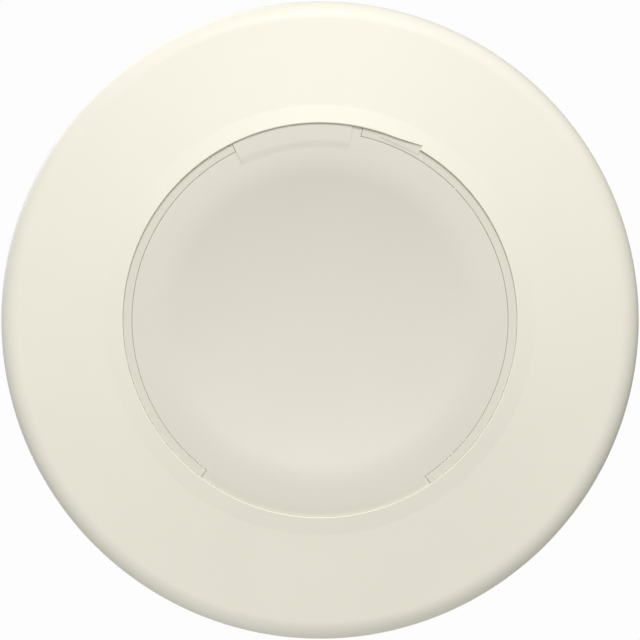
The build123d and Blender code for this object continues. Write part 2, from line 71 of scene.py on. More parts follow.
# Shapes are drawn in millimetres and made metres when a piece is settled.
MM = 0.001
ARC_ERROR = 0.003
WELD = 0.0005
SHARP_ANGLE = math.radians(32)
RING_STEPS = 360
SLEEVE_STEPS = 240
LATHE_STEPS = 192
SMALL_STEPS = 72
# The middle and the span of the cover's wide ear and of its narrow one, in degrees.
EARS = ((91.5, 71.0), (-97.0, 39.0))
# A plate on the narrow ear: its ends in degrees, its inner radius and how proud it stands.
PLATE = (-116.5, -80.5, 23.2, 0.12)
# The wedge in the lip: its ends in degrees, and how much it deepens towards its step.
WEDGE = (-72.0, -59.5, 0.63)
# The heights between which the ring's collar, and the sleeve inside it, widen to the opening.
COLLAR_STEP = (-4.75, -5.15)
COLLAR_GAP = 0.05
# Where the sleeve's lugs and rivets start, in degrees, and the height and radius of the rivets' holes.
LUG_START = 30
RIVET_START = 90
RIVET_HEIGHT = 3.2
RIVET_HOLE = 0.8
# The middles of the cup's beads, and half of a bead's width at its foot and at its crest.
BEADS = (9.0, 12.5, 16.0, 19.5, 23.0)
BEAD_FOOT = 0.9
BEAD_CREST = 0.45
# How fast the pipe thread's radius falls off towards its end.
TAPER = 1 / 32
THREAD_TURNS = 9
# The levers' and the plates' two hands: the left one is the right one turned half round.
HANDS = (("right", 0), ("left", 180))


def heights(node):
    """The lowest and the highest point of a CAD node."""
    return [corner.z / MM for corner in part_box(node)]


def side(node, axis=0):
    """How far a CAD node reaches along +X or +Y."""
    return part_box(node)[1][axis] / MM


# ---- Drawing and shaping ---------------------------------


def weld(bm):
    """Merges the points that lie on each other."""
    bmesh.ops.remove_doubles(bm, verts=bm.verts, dist=WELD)


def draw(bm, corners, closed=True):
    """Draws a section in the XZ plane from (x, z) or (x, z, bend) corners; a bend is a true arc.

    Where two bends don't both fit on the run between them, they shrink alike.
    """
    points = [Vector((corner[0], 0, corner[1])) for corner in corners]
    count = len(points)
    tangents = []
    halves = []
    for i, corner in enumerate(corners):
        bend = corner[2] if len(corner) > 2 else 0
        back = points[i - 1] - points[i]
        ahead = points[(i + 1) % count] - points[i]
        half = back.angle(ahead) / 2
        halves.append(half)
        tangents.append(bend / math.tan(half) if bend else 0)
    runs = [(points[(i + 1) % count] - points[i]).length for i in range(count)]
    shares = [
        min(1, 0.999 * runs[i] / max(tangents[i] + tangents[(i + 1) % count], 1e-9))
        for i in range(count)
    ]
    ends = []
    for i, here in enumerate(points):
        tangent = tangents[i] * min(shares[i], shares[i - 1])
        vert = bm.verts.new(here)
        if not tangent:
            ends.append((vert, vert))
            continue
        back = (points[i - 1] - here).normalized()
        ahead = (points[(i + 1) % count] - here).normalized()
        bend = tangent * math.tan(halves[i])
        turn = math.pi - 2 * halves[i]
        vert.co = here + back * tangent
        last = bmesh.ops.spin(
            bm,
            geom=[vert],
            cent=here + (back + ahead).normalized() * bend / math.sin(halves[i]),
            axis=ahead.cross(back).normalized(),
            angle=turn,
            steps=max(2, math.ceil(turn / (2 * math.acos(1 - min(ARC_ERROR / bend, 0.03))))),
        )["geom_last"]
        ends.append((vert, last[0]))
    for i in range(count if closed else count - 1):
        bm.edges.new((ends[i][1], ends[(i + 1) % count][0]))
    weld(bm)


def sheet(corners, thickness):
    """The outline of a bent sheet: its front corners, and its back ones a thickness to their left."""
    points = [Vector(corner[:2]) for corner in corners]
    runs = [(b - a).normalized() for a, b in zip(points[:-1], points[1:])]
    back = []
    for i, corner in enumerate(corners):
        beside = runs[max(i - 1, 0) : i + 1]
        normals = [Vector((-run.y, run.x)) for run in beside]
        middle = sum(normals, Vector((0, 0))).normalized()
        place = points[i] + middle * thickness / middle.dot(normals[0])
        bend = corner[2] if len(corner) > 2 else 0
        if bend and len(beside) == 2:
            first, then = beside
            left_turn = math.copysign(1, first.x * then.y - first.y * then.x)
            bend = max(bend - thickness * left_turn, 0.05)
        back.append((place.x, place.y, bend))
    return list(corners) + back[::-1]


def mend(bm):
    """Welds a shape's seams and poles and turns its faces outwards."""
    weld(bm)
    bmesh.ops.recalc_face_normals(bm, faces=bm.faces)
    return bm


def turned(bm, degrees, axis="Z"):
    """Turns a shape about the origin."""
    matrix = Matrix.Rotation(math.radians(degrees), 3, axis)
    bmesh.ops.rotate(bm, verts=bm.verts, cent=(0, 0, 0), matrix=matrix)
    return bm


def moved(bm, x=0.0, y=0.0, z=0.0):
    """Moves a shape."""
    bmesh.ops.translate(bm, verts=bm.verts, vec=(x, y, z))
    return bm


def spun(bm, degrees, steps, geometry=None, **settings):
    """Spins a shape, or part of it, about the axis, and gives what stands at the end of the turn."""
    return bmesh.ops.spin(
        bm,
        geom=geometry or bm.verts[:] + bm.edges[:] + bm.faces[:],
        cent=(0, 0, 0),
        axis=(0, 0, 1),
        angle=math.radians(degrees),
        steps=steps,
        **settings,
    )["geom_last"]


def half_section(corners):
    """A closed section to turn about the axis, without what lies on the axis."""
    bm = bmesh.new()
    draw(bm, corners)
    on_axis = [edge for edge in bm.edges if all(abs(vert.co.x) < WELD for vert in edge.verts)]
    bmesh.ops.delete(bm, geom=on_axis, context="EDGES")
    return bm


def lathe(corners, steps=SMALL_STEPS, centre=(0, 0)):
    """Turns a closed section about an upright axis."""
    bm = half_section(corners)
    spun(bm, 360, steps, use_merge=True)
    return mend(moved(bm, *centre))


def rod(radius, low, high, centre=(0, 0), edge=0.0, steps=SMALL_STEPS):
    """A round bar with rounded edges."""
    return lathe([(0, low), (radius, low, edge), (radius, high, edge), (0, high)], steps, centre)


def slab(corners, low, high, flat=False):
    """Gives an outline a thickness along Y, or lays it flat and gives it a thickness along Z."""
    bm = bmesh.new()
    draw(bm, corners)
    bmesh.ops.contextual_create(bm, geom=bm.edges[:])
    moved(bm, y=low)
    made = bmesh.ops.extrude_face_region(bm, geom=bm.faces[:], use_keep_orig=True)["geom"]
    raised = [item for item in made if isinstance(item, bmesh.types.BMVert)]
    bmesh.ops.translate(bm, verts=raised, vec=(0, high - low, 0))
    if flat:
        lay = Matrix(((1, 0, 0, 0), (0, 0, 1, 0), (0, 1, 0, 0), (0, 0, 0, 1)))
        bmesh.ops.transform(bm, matrix=lay, verts=bm.verts)
    return mend(bm)


def oblong(left, right, low, high, bend=0.0):
    """The corners of a rectangle, all with the same bend."""
    return [(left, low, bend), (right, low, bend), (right, high, bend), (left, high, bend)]


def block(x_low, x_high, y_half, z_low, z_high, edge=0.0):
    """A rectangular bar along Y with its long edges rounded."""
    return slab(oblong(x_low, x_high, z_low, z_high, edge), -y_half, y_half)


def bar_across(radius, near, far, height):
    """A round bar lying along X."""
    return moved(turned(rod(radius, near, far, steps=40), 90, "Y"), z=height)


def ring_of(bm, count, first=0.0):
    """Evenly spaced copies of a shape about the axis, the first one turned by some degrees."""
    spun(turned(bm, first), 360 * (count - 1) / count, count - 1, use_duplicate=True)
    return bm


def set_down(name, data):
    """Puts a mesh, a light or a camera into the scene."""
    thing = bpy.data.objects.new(name, data)
    bpy.context.scene.collection.objects.link(thing)
    return thing


def solid(name, bm):
    """Puts a shape into the scene."""
    mesh = bpy.data.meshes.new(name)
    bm.to_mesh(mesh)
    bm.free()
    return set_down(name, mesh)


def carve(bm, join=(), cut=(), keep=()):
    """Joins solids to a shape, cuts others out of it, and keeps what lies inside the last."""
    blanks = [solid("blank", shape) for shape in (bm, *join, *cut, *keep)]
    work = ["UNION"] * len(join) + ["DIFFERENCE"] * len(cut) + ["INTERSECT"] * len(keep)
    for operation, tool in zip(work, blanks[1:]):
        modifier = blanks[0].modifiers.new(operation.lower(), "BOOLEAN")
        modifier.operation = operation
        modifier.solver = "EXACT"
        modifier.object = tool
    depsgraph = bpy.context.evaluated_depsgraph_get()
    carved = bmesh.new()
    carved.from_mesh(blanks[0].evaluated_get(depsgraph).to_mesh())
    if not carved.faces:
        raise RuntimeError("nothing is left after a cut")
    for blank in blanks:
        mesh = blank.data
        bpy.data.objects.remove(blank)
        bpy.data.meshes.remove(mesh)
    weld(carved)
    bmesh.ops.dissolve_degenerate(carved, edges=carved.edges, dist=WELD)
    return carved


def settle(name, bm, finish, body, slot, *nodes, edge=0.0):
    """Makes a shape a piece: metres, shading, finish, and its place in the frame."""
    bmesh.ops.scale(bm, verts=bm.verts, vec=(MM, MM, MM))
    for face in bm.faces:
        face.smooth = True
    for line in bm.edges:
        line.smooth = line.calc_face_angle(0) < SHARP_ANGLE
    piece = solid(name, bm)
    piece.data.materials.append(finish_of(finish))
    if edge:
        bevel = piece.modifiers.new("edges", "BEVEL")
        bevel.width = edge * MM
        bevel.segments = 2
        bevel.limit_method = "ANGLE"
        bevel.angle_limit = SHARP_ANGLE
    shade = piece.modifiers.new("shading", "WEIGHTED_NORMAL")
    shade.keep_sharp = True
    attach(piece, body)
    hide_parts(*nodes)


# ---- Finishes --------------------------------------------


class Value:
    """A node's output that takes part in sums."""

    def __init__(self, finish, socket):
        self.finish = finish
        self.socket = socket

    def sum(self, operation, *others):
        return self.finish.node("ShaderNodeMath", {"operation": operation}, dict(enumerate(others)))

    def __add__(self, other):
        return self.sum("ADD", self, other)

    def __mul__(self, other):
        return self.sum("MULTIPLY", self, other)

    def __truediv__(self, other):
        return self.sum("DIVIDE", self, other)

    def __pow__(self, other):
        return self.sum("POWER", self, other)

    __radd__ = __add__
    __rmul__ = __mul__


class Finish:
    """A material in the making."""

    def __init__(self, name, **shader):
        self.material = bpy.data.materials.new(name)
        self.material.use_nodes = True
        self.tree = self.material.node_tree
        self.shader = self.tree.nodes["Principled BSDF"]
        self.feed(self.shader, shader)
        self.place = self.node("ShaderNodeTexCoord", output="Object")
        parts = self.node("ShaderNodeSeparateXYZ", inputs={0: self.place}, output=None)
        self.x, self.y, self.z = (Value(self, socket) for socket in parts.outputs)
        self.radius = (self.x * self.x + self.y * self.y) ** 0.5

    def feed(self, node, inputs):
        """Links or sets a node's sockets."""
        for key, value in inputs.items():
            socket = node.inputs[key]
            if isinstance(value, Value):
                self.tree.links.new(value.socket, socket)
            elif socket.type == "RGBA" and len(value) == 3:
                socket.default_value = (*value, 1)
            else:
                socket.default_value = value

    def node(self, kind, settings=None, inputs=None, output=0):
        """Adds a node: its settings first, then the values or links of its sockets."""
        node = self.tree.nodes.new(kind)
        for key, value in (settings or {}).items():
            if key == "stops":
                for stop, (position, shade) in zip(node.color_ramp.elements, value):
                    stop.position = position
                    stop.color = (shade, shade, shade, 1)
            else:
                setattr(node, key, value)
        self.feed(node, inputs or {})
        return node if output is None else Value(self, node.outputs[output])

    def point(self, x, y, z):
        """A place to read noise at."""
        return self.node("ShaderNodeCombineXYZ", inputs={0: x, 1: y, 2: z})

    def noise(self, scale, detail=2.0, roughness=0.5, place=None):
        """Cloudy values about 0.5; the scale is in clouds to the metre."""
        inputs = {"Vector": place or self.place, "Scale": scale, "Detail": detail}
        return self.node("ShaderNodeTexNoise", inputs={**inputs, "Roughness": roughness})

    def ramp(self, value, low, high):
        """0 below low, 1 above high, and even between."""
        settings = {"stops": ((low, 0.0), (high, 1.0))}
        return self.node("ShaderNodeValToRGB", settings, {0: value})

    def mix(self, share, first, second):
        """The first colour turning to the second as the share grows."""
        settings = {"data_type": "RGBA"}
        return self.node("ShaderNodeMix", settings, {0: share, 6: first, 7: second}, 2)

    def range(self, value, low, high, out_low, out_high):
        """The run from low to high, stretched to another run."""
        inputs = {0: value, 1: low, 2: high, 3: out_low, 4: out_high}
        return self.node("ShaderNodeMapRange", inputs=inputs)

    def bump(self, height, depth, strength=1.0):
        """Raises the surface by height times a depth in millimetres."""
        inputs = {"Height": height, "Distance": depth * MM, "Strength": strength}
        if self.shader.inputs["Normal"].is_linked:
            inputs["Normal"] = Value(self, self.shader.inputs["Normal"].links[0].from_socket)
        self.surface(Normal=self.node("ShaderNodeBump", inputs=inputs))

    def surface(self, **inputs):
        """Links or sets the shader's sockets."""
        names = {key.replace("_", " "): value for key, value in inputs.items()}
        self.feed(self.shader, names)


def shade_of(colour, factor):
    """A colour made lighter or darker."""
    return tuple(channel * factor for channel in colour)


def powder_coat(name, colour, shade):
    """Satin powder coat: a faint orange peel, soft mottling and warm specks; a shade under 1 darkens it all
    as painted shade.
    """
    coat = Finish(name, **{"Specular IOR Level": 0.36, "Coat Roughness": 0.35})
    mottle = coat.noise(55, 3.0, 0.55)
    speckle = coat.noise(2600, 1.0)
    # A shade under 1 is painted shade: the cover and sleeve, in the ring's opening, get a darker copy of the
    # ring's ivory
    deep, pale = shade_of(colour, 0.985 * shade), shade_of(colour, 1.005 * shade)
    tone = coat.mix(coat.ramp(mottle, 0.3, 0.7), deep, pale)
    warm = (colour[0], colour[1] * 0.985, colour[2] * 0.955)
    tone = coat.mix(coat.ramp(speckle, 0.62, 0.85) * 0.35, tone, shade_of(warm, shade))
    peel = coat.noise(950, 2.0, 0.45)
    coat.surface(
        Base_Color=tone,
        Roughness=coat.range(mottle, 0.25, 0.75, 0.46, 0.54),
        Coat_Weight=coat.range(peel, 0.3, 0.7, 0.05, 0.12),
    )
    coat.bump(peel, 0.02, 0.5)
    coat.bump(speckle, 0.004, 0.4)
    return coat.material


def turned_metal(name, colour, rough, tarnish=0.75, tool_pitch=0.25):
    """Metal off a lathe: fine rings from the tool, and patches of tarnish."""
    metal = Finish(name, Metallic=1.0)
    patches = metal.noise(160, 4.0, 0.6)
    pitch = tool_pitch * MM
    rings = metal.noise(1.0, 2.0, 0.6, metal.point(metal.radius / pitch, 0.0, metal.z / pitch))
    fine = metal.noise(1500, 2.0)
    worn = metal.ramp(patches, 0.35, 0.7)
    tone = metal.mix(worn, colour, shade_of(colour, tarnish))
    metal.surface(
        Base_Color=metal.mix(rings * 0.25, tone, shade_of(colour, 1.12)),
        Roughness=metal.range(patches + rings * 0.4, 0.5, 0.9, rough, rough + 0.14),
    )
    metal.bump(rings, 0.02, 0.5)
    metal.bump(fine, 0.006, 0.4)
    return metal.material


def stamped_metal(name, colour, rough, tarnish=0.7, grain=900):
    """Sheet metal cut in a press: a fine rolled grain, small scratches and darker patches."""
    metal = Finish(name, Metallic=1.0)
    patches = metal.noise(220, 4.0, 0.6)
    rolled = metal.point(metal.x * 140, metal.y * 3200, metal.z * 1400)
    streaks = metal.noise(1.0, 3.0, 0.65, rolled)
    pits = metal.noise(grain, 3.0, 0.6)
    tone = metal.mix(metal.ramp(patches, 0.35, 0.72), colour, shade_of(colour, tarnish))
    metal.surface(
        Base_Color=metal.mix(streaks * 0.3, tone, shade_of(colour, 1.15)),
        Roughness=metal.range(patches + streaks * 0.5, 0.5, 1.0, rough, rough + 0.16),
    )
    metal.bump(streaks, 0.012, 0.5)
    metal.bump(pits, 0.01, 0.4)
    return metal.material


def drawn_steel(name, colour, tint, rough):
    """Zinc plated steel drawn in a press: upright drawing lines, and a faint blue and straw tint."""
    metal = Finish(name, Metallic=1.0)
    reach = metal.radius + 1e-6
    around = metal.point(metal.x / reach * 90, metal.y / reach * 90, metal.z * 60)
    lines = metal.noise(1.0, 4.0, 0.7, around)
    clouds = metal.noise(90, 3.0, 0.6)
    spangle = metal.noise(1900, 1.0)
    tone = metal.mix(metal.ramp(clouds, 0.3, 0.75), colour, tint)
    metal.surface(
        Base_Color=metal.mix(metal.ramp(lines, 0.35, 0.75) * 0.4, tone, shade_of(colour, 0.8)),
        Roughness=metal.range(lines + clouds, 0.7, 1.3, rough, rough + 0.18),
    )
    metal.bump(lines, 0.015, 0.45)
    metal.bump(spangle, 0.004, 0.4)
    return metal.material


def cast_alloy(name, colour):
    """Fusible solder: dull, lumpy and slightly crazed."""
    alloy = Finish(name, Metallic=0.9)
    lumps = alloy.noise(620, 3.0, 0.55)
    skin = alloy.noise(2400, 3.0, 0.7)
    alloy.surface(
        Base_Color=alloy.mix(alloy.ramp(skin, 0.35, 0.7), colour, shade_of(colour, 0.7)),
        Roughness=alloy.range(lumps, 0.3, 0.7, 0.42, 0.62),
    )
    alloy.bump(lumps, 0.05, 0.7)
    alloy.bump(skin, 0.01, 0.5)
    return alloy.material


def waxy_seal(name, colour):
    """A pressed seal: waxy, with faint skiving lines."""
    seal = Finish(name, **{"Specular IOR Level": 0.35})
    skived = seal.point(seal.radius * 4200, 0.0, seal.z * 900)
    lines = seal.noise(1.0, 2.0, 0.5, skived)
    cloud = seal.noise(300, 2.0)
    seal.surface(
        Base_Color=seal.mix(seal.ramp(cloud, 0.3, 0.7), colour, shade_of(colour, 0.93)),
        Roughness=seal.range(lines, 0.3, 0.7, 0.36, 0.5),
    )
    seal.bump(lines, 0.008, 0.5)
    return seal.material


def finish_of(kind):
    """The finish of that kind, made the first time it is asked for."""
    made = bpy.data.materials.get(kind)
    if made:
        return made
    tones = bpy.context.scene.sprinkler_finishes
    makers = {
        "ivory_powder_coat": (powder_coat, tones.ivory, 1.0),
        # The cover and sleeve take the ivory darkened by the cover's factor, as painted shade of the ring's
        # opening
        "cover_powder_coat": (powder_coat, tones.ivory, tones.cover_painted_shade),
        "turned_brass": (turned_metal, tones.brass, 0.24),
        "stamped_brass": (stamped_metal, tones.brass, 0.3),
        "stamped_bronze": (stamped_metal, tones.bronze, 0.3),
        "turned_bronze": (turned_metal, tones.bronze, 0.28, 0.7, 0.2),
        "zinc_plated_steel": (drawn_steel, tones.zinc, tuple(tones.straw), 0.26),
        "spring_steel": (stamped_metal, tones.spring, 0.2, 0.82, 1600),
        "satin_nickel": (stamped_metal, tones.nickel, 0.24, 0.85, 1800),
        "fusible_solder": (cast_alloy, tones.solder),
        "waxy_seal": (waxy_seal, tones.seal),
    }
    maker, colour, *numbers = makers[kind]
    return maker(kind, tuple(colour), *numbers)


# ---- Sizes and colours -----------------------------------


def amount(name, description, default, **settings):
    """A number that is never negative."""
    return FloatProperty(name=name, description=description, default=default, min=0.0, **settings)


def length(name, description, millimetres):
    """A size shown in the scene's length unit."""
    return amount(name, description, millimetres * MM, precision=5, unit="LENGTH")


def tone(name, description, colour):
    """A colour."""
    return FloatVectorProperty(
        name=name, description=description, default=colour, size=3, min=0.0, max=1.0, subtype="COLOR"
    )


class SprinklerFaceSizes(PropertyGroup):
    """Sizes of the ring, the cover and the sleeve."""

    ring_radius: length("Ring radius", "Outside radius of the domed ring", side("escutcheon"))
    ring_sheet: length("Ring sheet", "Sheet thickness of the ring", 1.0)
    edge_height: length("Edge height", "Height of the ring's rolled edge", 3.12)
    edge_bend: length("Edge bend", "Radius of the ring's rolled edge", 3.0)
    dome_depth: length("Dome depth", "Drop from the ceiling to the foot of the lip", 6.05)
    lip_width: length("Lip width", "Width of the lip round the opening", 2.4)
    lip_height: length("Lip height", "Height of the lip over the dome", 0.7)
    lip_bend: length("Lip bend", "Radius of the lip's crest", 0.13)
    opening_radius: length("Opening radius", "Radius of the ring's opening at the lip", 25.77)
    sleeve_radius: length("Sleeve radius", "Outside radius of the sleeve", 25.5)
    sleeve_wall: length("Sleeve wall", "Wall of the sleeve", 0.9)
    cover_radius: length("Cover radius", "Radius of the cover's skirt", 24.15)
    cover_sheet: length("Cover sheet", "Sheet thickness of the cover", 0.8)
    cover_bend: length("Cover bend", "Radius of the cover's rolled edge", 2.15)
    dish_depth: length("Dish depth", "Depth of the cover's dish", 2.35)
    rim_radius: length("Rim radius", "Radius of the cover's rolled edge", 24.57)
    ear_radius: length("Ear radius", "Radius of the cover's ears", 25.75)
    ear_drop: length("Ear drop", "How far an ear's edge stands behind the crest", 0.14)
    rim_proud: length("Rim height", "How far the sleeve's rim is rolled over its end", 0.42)


class SprinklerBodySizes(PropertyGroup):
    """Sizes of the cup, the body and the parts in it."""

    cup_radius: length("Cup radius", "Outside radius of the support cup", side("support_cup"))
    cup_height: length("Cup height", "Height of the support cup", heights("support_cup")[1])
    cup_wall: length("Cup wall", "Wall of the support cup", 0.8)
    bead_depth: length("Bead depth", "Depth of the cup's rolled beads", 0.5)
    flange_radius: length("Flange radius", "Radius of the body's flange", side("sprinkler_body", 1))
    flange_flat: length("Flange flat", "Half the width over the flange's flats", side("sprinkler_body"))
    neck_radius: length("Neck radius", "Radius of the body's neck", 10.9)
    nozzle_radius: length("Nozzle radius", "Outside radius of the nozzle", 8.2)
    orifice_radius: length("Orifice radius", "Radius of the orifice", 5.55)
    waterway_radius: length("Waterway radius", "Radius of the waterway", 7.0)
    thread_radius: length("Thread radius", "Radius over the thread at its end", 10.35)
    thread_pitch: length("Thread pitch", "Pitch of the pipe thread", 1.814)
    thread_depth: length("Thread depth", "Depth of the pipe thread", 1.15)
    pin_circle: length("Pin circle", "Distance of the guide pins from the axis", 13.0)
    deflector_radius: length("Deflector radius", "Radius of the deflector", side("deflector"))
    deflector_slots: IntProperty(name="Slots", description="Slots round the deflector", default=12, min=4)


class SprinklerFinishes(PropertyGroup):
    """Colours of the finishes."""

    ivory: tone("Ivory", "Powder coat of the ring and sleeve", (0.87, 0.84, 0.735))
    # Painted shade: how much darker the ivory of the cover and sleeve, inside the ring's opening, is painted
    # than the ring
    cover_painted_shade: amount(
        "Cover shade", "Tone of the cover against the ring", 0.865, max=1.2, subtype="FACTOR"
    )
    brass: tone("Brass", "Turned body", (0.78, 0.57, 0.27))
    bronze: tone("Bronze", "Levers, pins and deflector", (0.66, 0.42, 0.24))
    zinc: tone("Zinc", "Plating of the support cup", (0.62, 0.64, 0.67))
    straw: tone("Straw tint", "Patches in the support cup's plating", (0.6, 0.6, 0.52))
    spring: tone("Spring steel", "Circlip, springs and rivets", (0.68, 0.67, 0.65))
    nickel: tone("Nickel", "Link plates and disc spring", (0.66, 0.62, 0.55))
    solder: tone("Solder", "Fusible alloy", (0.42, 0.43, 0.44))
    seal: tone("Seal", "Seal washer", (0.86, 0.86, 0.83))


class SprinklerStageSizes(PropertyGroup):
    """Camera, lights and floor."""

    lens: amount("Lens", "Focal length of the camera", 300.0, subtype="DISTANCE_CAMERA")
    half_view: length("Half view", "Half the width that the camera sees at the ring", 42.13)
    floor_height: FloatProperty(
        name="Floor height", description="Height of the floor", default=-2.0, unit="LENGTH"
    )
    floor_glow: amount("Floor glow", "Light of the floor away from the object", 0.48)
    key_power: amount("Key light", "Power of the large soft light", 26.5, unit="POWER")
    edge_power: amount("Edge light", "Power of the low light at the ring's edge", 1.8, unit="POWER")
    back_power: amount("Back light", "Power of the light over the pipe end", 6.0, unit="POWER")
    side_power: amount("Side light", "Power of the light beside the pipe end", 4.2, unit="POWER")
    sky: amount("Sky", "Brightness of the room round the object", 0.22)


# ---- The stage -------------------------------------------


def soft_light(name, place, target, size, power):
    """A round soft light that faces the target and that the camera doesn't see."""
    data = bpy.data.lights.new(name, "AREA")
    data.shape = "DISK"
    data.size = size
    data.energy = power
    light = set_down(name, data)
    light.location = place
    light.rotation_euler = (Vector(target) - Vector(place)).to_track_quat("-Z", "Y").to_euler()
    light.visible_camera = False


class SPRINKLER_OT_stage(Operator):
    """Lays the floor, hangs the lights and sets the camera under the ring"""

    bl_idname = "sprinkler.stage"
    bl_label = "Stage"

    def execute(self, context):
        scene = context.scene
        stage = scene.sprinkler_stage
        bm = bmesh.new()
        bmesh.ops.create_grid(bm, x_segments=1, y_segments=1, size=20)
        moved(bm, z=stage.floor_height)
        floor = solid("floor", bm)
        paper = Finish("floor_paper", Roughness=0.9, **{"Emission Strength": stage.floor_glow})
        glow = paper.range(paper.radius, 1.8, 4.2, 0.0, 1.0)
        paper.surface(
            Base_Color=paper.mix(paper.noise(3.0), (0.9, 0.9, 0.89), (0.93, 0.93, 0.92)),
            Emission_Color=paper.mix(glow, (0.0, 0.0, 0.0), (1.0, 1.0, 0.985)),
        )
        floor.data.materials.append(paper.material)

        low, high = CAD_BOX
        middle = ((low + high) / 2).to_tuple()
        for name, place, width, power in (
            ("key_light", (0.0, -1.3, -1.3), 1.1, stage.key_power),
            ("edge_light", (-0.2, 0.8, -0.05), 0.5, stage.edge_power),
            ("back_light", (0.0, 0.0, 1.2), 0.5, stage.back_power),
            ("side_light", (-0.5, -0.45, 0.75), 0.9, stage.side_power),
        ):
            soft_light(name, place, middle, width, power)

        world = bpy.data.worlds.new("room")
        world.use_nodes = True
        scene.world = world
        nodes, links = world.node_tree.nodes, world.node_tree.links
        background = nodes["Background"]
        background.inputs["Strength"].default_value = 1.0
        path = nodes.new("ShaderNodeLightPath")
        blend = nodes.new("ShaderNodeMix")
        blend.data_type = "RGBA"
        blend.inputs[6].default_value = (stage.sky, stage.sky, stage.sky * 0.985, 1)
        blend.inputs[7].default_value = (0.98, 0.98, 0.98, 1)
        links.new(path.outputs["Is Camera Ray"], blend.inputs[0])
        links.new(blend.outputs[2], background.inputs["Color"])

        data = bpy.data.cameras.new("camera")
        data.lens = stage.lens
        data.sensor_width = 36.0
        data.clip_start = 0.01
        data.clip_end = 20.0
        camera = set_down("camera", data)
        reach = stage.half_view * 2 * data.lens / data.sensor_width
        ring_middle = -1.5 * MM
        camera.location = (0, 0, ring_middle - reach)
        camera.rotation_euler = (math.pi, 0, 0)
        scene.camera = camera
        scene.view_settings.view_transform = "Standard"
        scene.view_settings.look = "None"
        return DONE


# ---- The ring, the sleeve and the cover ------------------


class SPRINKLER_OT_ring(Operator):
    """Rolls the domed ring with its raised lip, and cuts the wedge beside the narrow ear from it"""

    bl_idname = "sprinkler.ring"
    bl_label = "Domed ring"

    def execute(self, context):
        size = context.scene.sprinkler_face
        ring, opening = size.ring_radius / MM, size.opening_radius / MM
        depth, lip = size.dome_depth / MM, size.lip_height / MM
        foot = opening + size.lip_width / MM
        collar = size.sleeve_radius / MM
        section = sheet(
            [
                (collar, -1.0, 0.2), (collar, COLLAR_STEP[0], 0.1), (opening, COLLAR_STEP[1], 0.1),
                (opening, -depth - lip, size.lip_bend / MM), (foot, -depth, 1.5),
                (ring, -size.edge_height / MM, size.edge_bend / MM), (ring, 0, 0.22),
            ],
            size.ring_sheet / MM,
        )
        bm = carve(lathe(section, RING_STEPS), cut=[wedge(size, -8, -6.0, 0.02)])
        settle("domed_ring", bm, "ivory_powder_coat", "trim", "ivory_paint", "escutcheon")
        return DONE


def wedge(size, low, high, grow):
    """The wedge between the sleeve's rim and the lip, which widens to a step."""
    inner, outer = size.sleeve_radius / MM - 0.3, size.opening_radius / MM + grow
    start, end, step = math.radians(WEDGE[0]), math.radians(WEDGE[1]), WEDGE[2]
    corners = [
        (radius * math.cos(angle), radius * math.sin(angle))
        for radius, angle in ((inner, start), (outer - 0.05, start), (outer + step, end), (inner, end))
    ]
    return slab(corners, low, high, flat=True)


class SPRINKLER_OT_cover(Operator):
    """Presses the dished cover and draws its two ears out of its rolled edge"""

    bl_idname = "sprinkler.cover"
    bl_label = "Dished cover"

    def execute(self, context):
        size = context.scene.sprinkler_face
        edge, wall = size.cover_radius / MM, size.cover_sheet / MM
        bend, depth = size.cover_bend / MM, size.dish_depth / MM
        crest = edge - bend
        low = heights("cover_dish")[0]
        turn = 2 * math.atan(depth / crest)
        arcs = crest / math.sin(turn)
        hollow, rise, skirt = 0.86 * arcs, 0.14 * arcs, 2.45
        section = sheet(
            [
                (0, low + depth), (hollow * math.tan(turn / 2), low + depth, hollow * 0.999),
                (crest - rise * math.tan(turn / 2), low, rise), (edge, low, bend),
                (edge, low + skirt, 0.2),
            ],
            wall,
        )
        # A hair's breadth of turn before and after each end keeps the ears' and the plate's ends sharp
        hair, turn_step = 0.01, 1.5
        ends = [angle + sign * span / 2 for angle, span in EARS for sign in (-1, 1)]
        stops = sorted(end + sign * hair for end in (*ends, PLATE[1]) for sign in (-1, 1))
        bm = turned(half_section(section), stops[0])
        geometry = None
        for here, there in zip(stops, stops[1:] + [stops[0] + 360]):
            steps = max(1, round((there - here) / turn_step))
            geometry = spun(bm, there - here, steps, geometry)
        weld(bm)
        for vert in bm.verts:
            draw_out(vert, size, low)
        bmesh.ops.recalc_face_normals(bm, faces=bm.faces)
        settle("dished_cover", bm, "cover_powder_coat", "cover", "ivory_paint", "cover_dish")
        return DONE


def draw_out(vert, size, low):
    """Draws the outer skin of the rolled edge out almost to the sleeve, and in an ear to the ring."""
    edge, wall, bend = size.cover_radius / MM, size.cover_sheet / MM, size.cover_bend / MM
    crest, centre_z = edge - bend, low + bend
    x, y, z = vert.co
    radius = math.hypot(x, y)
    along, down = radius - crest, centre_z - z
    if along < 0.01 or down < -0.01 or math.hypot(along, down) < bend - 0.1:
        return
    angle = math.degrees(math.atan2(y, x))
    in_ear = any(abs((angle - at + 180) % 360 - 180) < span / 2 for at, span in EARS)
    ear, drop = size.ear_radius / MM, size.ear_drop / MM
    reach = ear if in_ear else size.rim_radius / MM
    curve = ((ear - crest) ** 2 + drop**2) / (2 * drop)
    sweep = math.asin((reach - crest) / curve)
    edge_z = low + curve * (1 - math.cos(sweep))

    # The bend's quarter turn is shared out: the flat, then the sheet's edge, then the way back
    flat_end, edge_end = 0.6, 0.85
    share = math.atan2(along, down) / (math.pi / 2)
    if share < flat_end:
        turn = sweep * share / flat_end
        new_radius, new_z = crest + curve * math.sin(turn), low + curve * (1 - math.cos(turn))
    elif share < edge_end:
        turn = math.pi * (share - flat_end) / (edge_end - flat_end)
        new_radius, new_z = reach, edge_z + wall * (1 - math.cos(turn)) / 2
    else:
        part = (share - edge_end) / (1 - edge_end)
        new_radius = reach + (edge - reach) * part
        new_z = edge_z + wall + (centre_z - edge_z - wall) * part
    start, end, inner, proud = PLATE
    if start < angle < end and new_radius > inner:
        new_z -= proud
    vert.co = (x * new_radius / radius, y * new_radius / radius, new_z)


